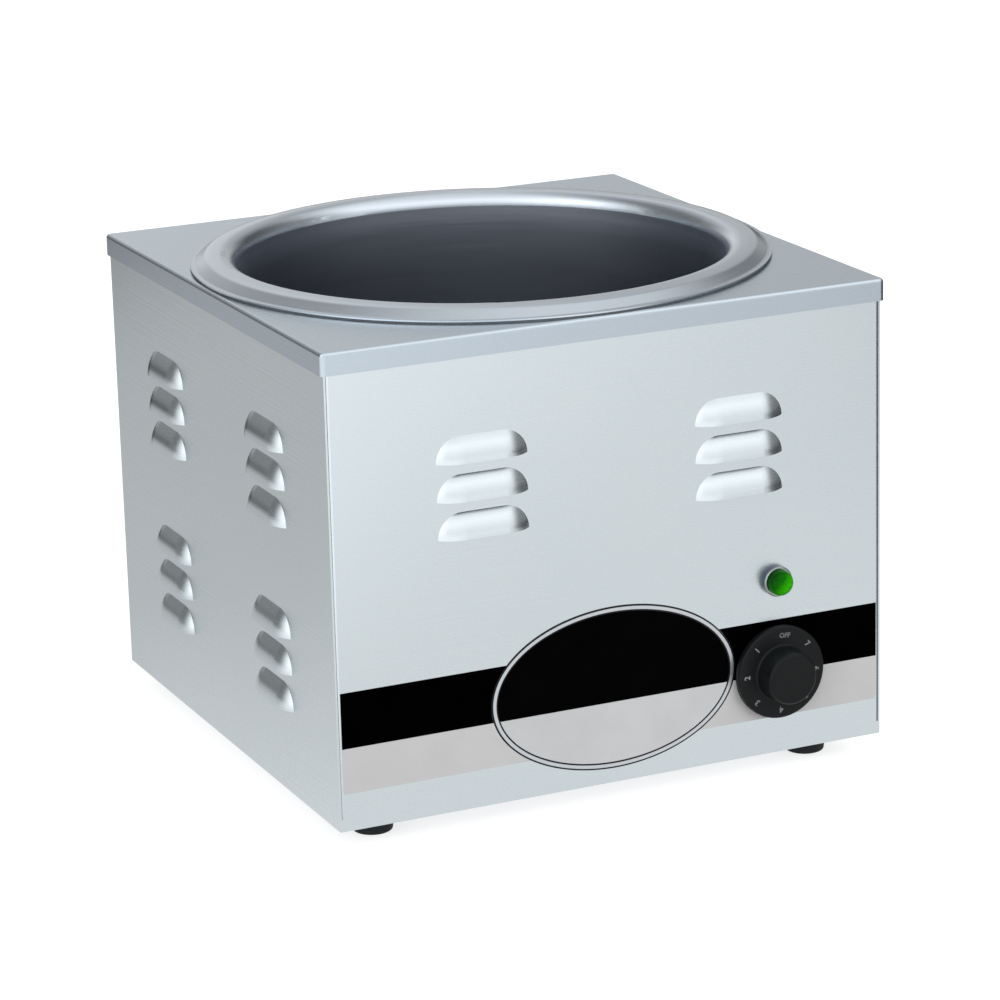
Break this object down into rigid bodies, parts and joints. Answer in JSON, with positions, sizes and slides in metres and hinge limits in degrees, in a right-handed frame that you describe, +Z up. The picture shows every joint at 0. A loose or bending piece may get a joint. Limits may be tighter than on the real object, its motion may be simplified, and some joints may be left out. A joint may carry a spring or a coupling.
{
  "type": "countertop food pan warmer",
  "caption": "Square countertop food warmer with a round heated well, louvered steel housing, front dial, pilot light, printed stripes and rubber feet.",
  "frame": {"origin": "on the worktop, under the middle of the well, which is the middle of the feet", "axes": "+Z up along the well, -Y towards the front with the dial, +X to the right as seen from the front"},
  "size_m": [0.3274, 0.3564, 0.273],
  "materials": {
    "brushed_steel": "brushed along the panel",
    "well_steel": "drawn, satin",
    "galvanised_steel": "galvanised",
    "zinc_steel": "zinc plated",
    "foot_rubber": "matte",
    "gasket_silicone": "matte",
    "mineral_wool": "fibrous",
    "element_sheath": "oxidised",
    "white_ceramic": "glazed ceramic",
    "brown_phenolic": "moulded phenolic",
    "brass": "plain",
    "copper": "drawn copper",
    "dial_plastic": "moulded, satin",
    "black_nylon": "moulded",
    "bezel_chrome": "polished",
    "green_lens": "clear green plastic",
    "neon_glass": "clear glass",
    "black_print": "gloss film",
    "grey_print": "gloss film",
    "badge_print": "gloss film, black over grey",
    "black_lead": "silicone insulation",
    "white_lead": "silicone insulation",
    "green_lead": "silicone insulation"
  },
  "bodies": {
    "housing": {"top_deck": "brushed_steel", "front_panel": "brushed_steel", "back_panel": "brushed_steel", "side_panel_left": "brushed_steel", "side_panel_right": "brushed_steel", "well_pan": "well_steel", "bottom_plate": "galvanised_steel", "corner_posts": "galvanised_steel", "clamp_plate": "galvanised_steel", "insulation_tray": "galvanised_steel", "hold_clips": "galvanised_steel", "bulb_clips": "galvanised_steel", "thermostat_mount": "galvanised_steel", "bottom_screws": "zinc_steel", "foot_screws": "zinc_steel", "clip_studs": "zinc_steel", "clip_nuts": "zinc_steel", "well_studs": "zinc_steel", "stud_nuts": "zinc_steel", "thermostat_screws": "zinc_steel", "earth_stud": "zinc_steel", "foot_front_left": "foot_rubber", "foot_front_right": "foot_rubber", "foot_rear_left": "foot_rubber", "foot_rear_right": "foot_rubber", "rim_gasket": "gasket_silicone", "insulation_wrap": "mineral_wool", "insulation_disc": "mineral_wool", "heating_element": "element_sheath", "element_terminals": "white_ceramic", "terminal_block": "white_ceramic", "thermostat_case": "brown_phenolic", "limit_thermostat": "brown_phenolic", "thermostat_contacts": "brass", "switch_blade": "brass", "terminal_bars": "brass", "thermostat_diaphragm": "brass", "thermostat_bulb": "copper", "capillary_tube": "copper", "pilot_body": "black_nylon", "pilot_retainer": "black_nylon", "cord_gland": "black_nylon", "gland_nut": "black_nylon", "pilot_bezel": "bezel_chrome", "pilot_lens": "green_lens", "neon_bulb": "neon_glass", "stripe_black": "black_print", "stripe_grey": "grey_print", "badge": "badge_print", "lead_line": "black_lead", "lead_switched": "black_lead", "lead_pilot_live": "black_lead", "lead_limiter": "white_lead", "lead_neutral": "white_lead", "lead_pilot_neutral": "white_lead", "lead_earth": "green_lead"},
    "dial": {"control_knob": "dial_plastic", "knob_spring_clip": "zinc_steel", "thermostat_shaft": "zinc_steel", "thermostat_cam": "black_nylon"}
  },
  "joints": [
    {"name": "dial_turn", "type": "hinge", "parent": "housing", "child": "dial", "pos_m": [0.0947, -0.1682, 0.06], "axis": [0, 1, 0], "range_deg": [0, 300]}
  ]
}
